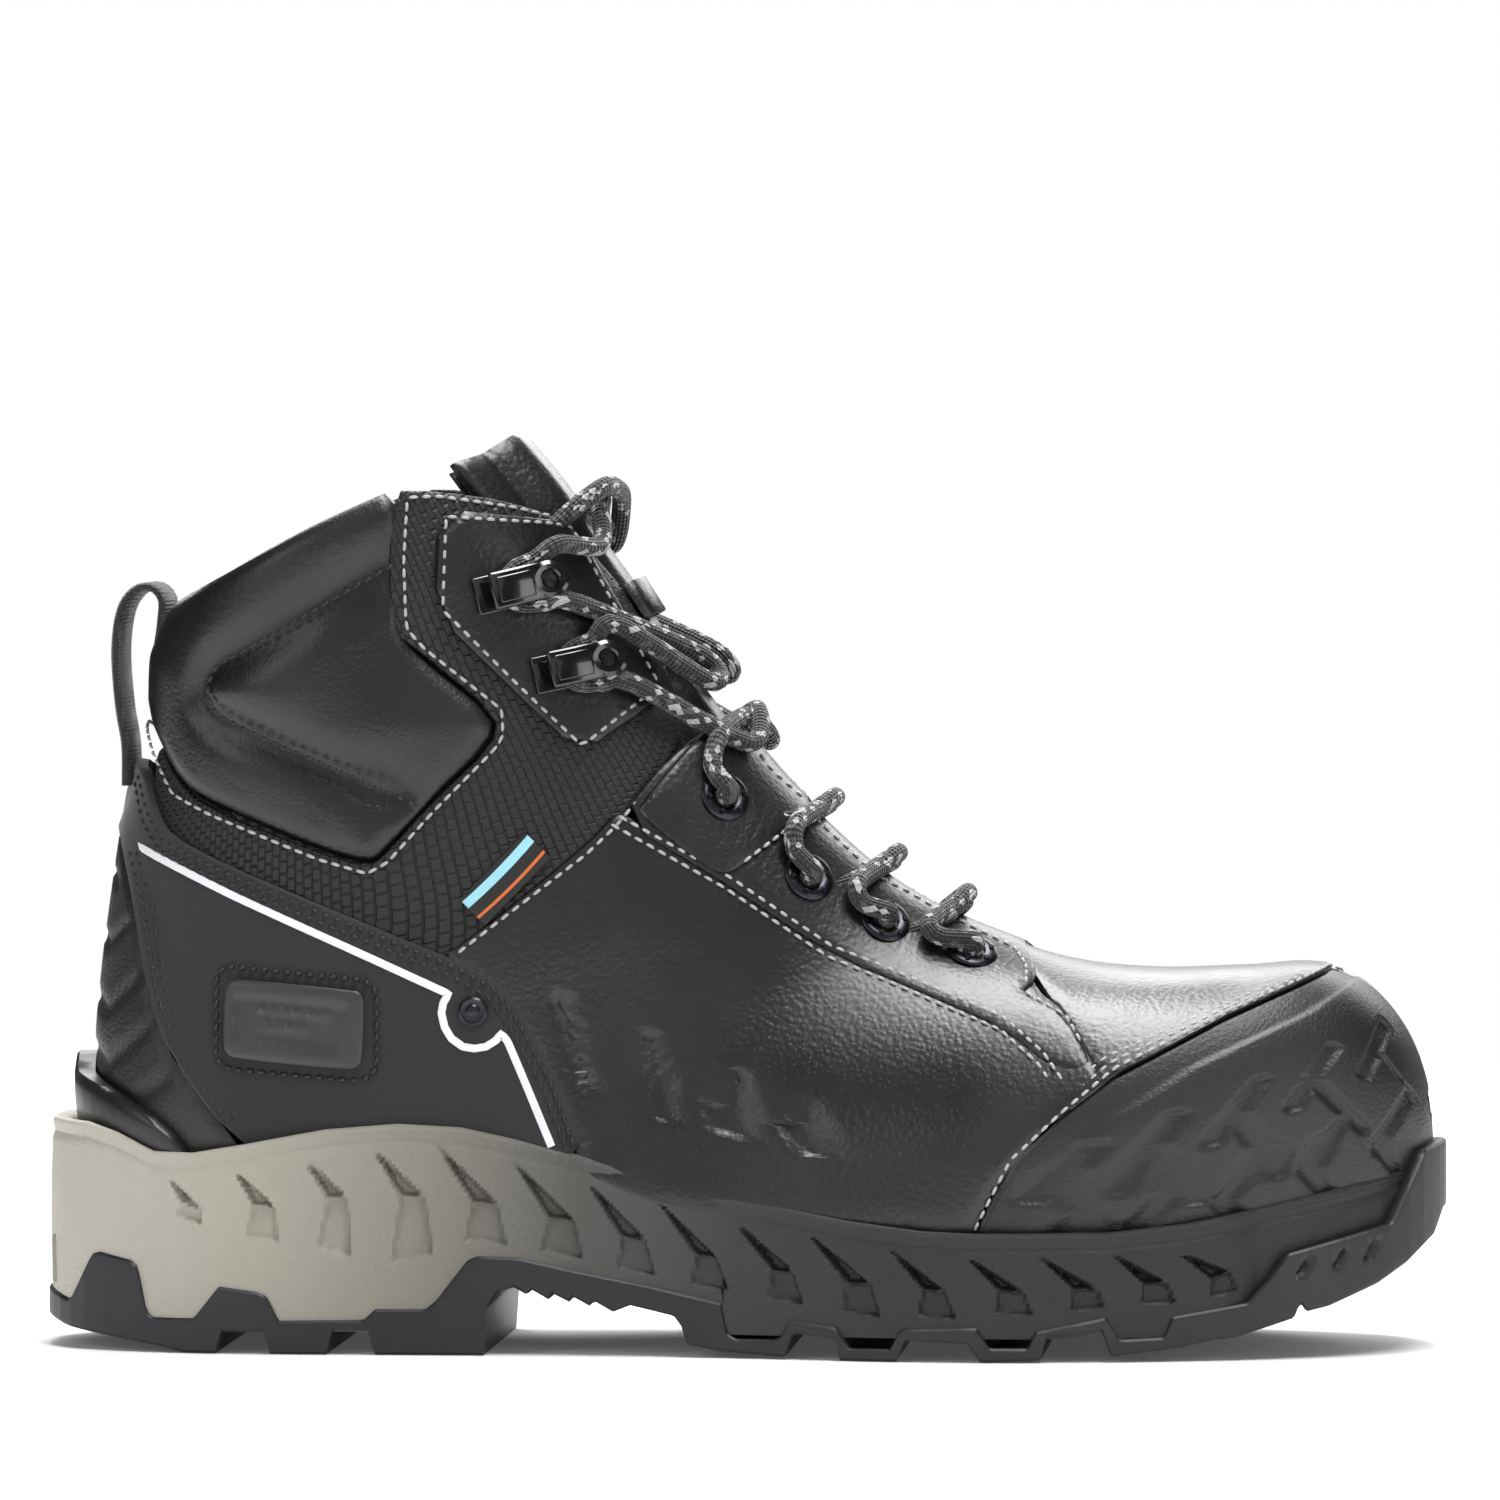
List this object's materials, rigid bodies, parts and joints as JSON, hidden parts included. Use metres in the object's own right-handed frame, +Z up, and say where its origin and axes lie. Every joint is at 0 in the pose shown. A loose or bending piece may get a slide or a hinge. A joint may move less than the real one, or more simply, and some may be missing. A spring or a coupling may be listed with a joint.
{
  "type": "safety toe work boot",
  "caption": "Black lace-up six-inch work boot with a safety toe, rubber toe and heel guards, padded collar, chevron midsole and lugged sole.",
  "frame": {"origin": "on the ground under the middle of the outsole's box", "axes": "+X towards the toe, +Y towards the inner side of the right foot, +Z up"},
  "size_m": [0.3117, 0.1118, 0.203],
  "materials": {
    "outsole_rubber": "matt moulded rubber",
    "midsole_foam": "matt moulded foam, olive grey to black",
    "stabilizer_plastic": "satin",
    "patch_plastic": "matt",
    "shank_steel": "plain",
    "insole_board": "fibre board",
    "footbed_fabric": "brushed knit",
    "cap_composite": "moulded composite",
    "counter_board": "thermoplastic sheet",
    "lining_fabric": "spacer mesh",
    "full_grain_leather": "pebbled, waxed",
    "guard_rubber": "fine grain",
    "ankle_textile": "embossed coated fabric",
    "collar_leather": "soft, smooth",
    "nubuck": "nubuck",
    "piping_white": "reflective film",
    "badge_rubber": "moulded",
    "gunmetal": "blackened",
    "tag_fabric": "woven label",
    "webbing": "ribbed webbing",
    "tongue_leather": "soft grain",
    "hook_enamel": "black enamel",
    "lace_braid": "round braid with grey flecks"
  },
  "bodies": {
    "boot": {"outsole": "outsole_rubber", "midsole": "midsole_foam", "heel_stabilizer": "stabilizer_plastic", "heel_patch": "patch_plastic", "shank": "shank_steel", "insole_board": "insole_board", "toe_cap": "cap_composite", "heel_counter": "counter_board", "lining_lateral": "lining_fabric", "lining_medial": "lining_fabric", "vamp_lining": "lining_fabric", "vamp": "full_grain_leather", "toe_guard": "guard_rubber", "quarter_lateral": "full_grain_leather", "quarter_medial": "full_grain_leather", "eyestay_lateral": "full_grain_leather", "eyestay_medial": "full_grain_leather", "hook_panel_lateral": "full_grain_leather", "hook_panel_medial": "full_grain_leather", "ankle_panel_lateral": "ankle_textile", "ankle_panel_medial": "ankle_textile", "collar_lateral": "collar_leather", "collar_medial": "collar_leather", "heel_panel_lateral": "nubuck", "heel_panel_medial": "nubuck", "heel_guard": "guard_rubber", "reflective_line_lateral": "piping_white", "reflective_line_medial": "piping_white", "badge": "badge_rubber", "heel_studs": "gunmetal", "tag": "tag_fabric", "pull_loop": "webbing", "eyelets_lateral": "gunmetal", "eyelets_medial": "gunmetal", "lace_hooks_lateral": "hook_enamel", "lace_hooks_medial": "hook_enamel", "lace": "lace_braid"},
    "tongue": {"tongue": "tongue_leather", "tongue_lining": "lining_fabric", "tongue_loop": "full_grain_leather"},
    "footbed": {"footbed": "footbed_fabric"}
  },
  "joints": [
    {"name": "tongue_fall", "type": "hinge", "parent": "boot", "child": "tongue", "pos_m": [0.0605, 0, 0.0855], "axis": [0, -1, 0], "range_deg": [0, 8]},
    {"name": "footbed_lift", "type": "hinge", "parent": "boot", "child": "footbed", "pos_m": [0.1407, 0, 0.03], "axis": [0, 1, 0], "range_deg": [0, 5]}
  ]
}
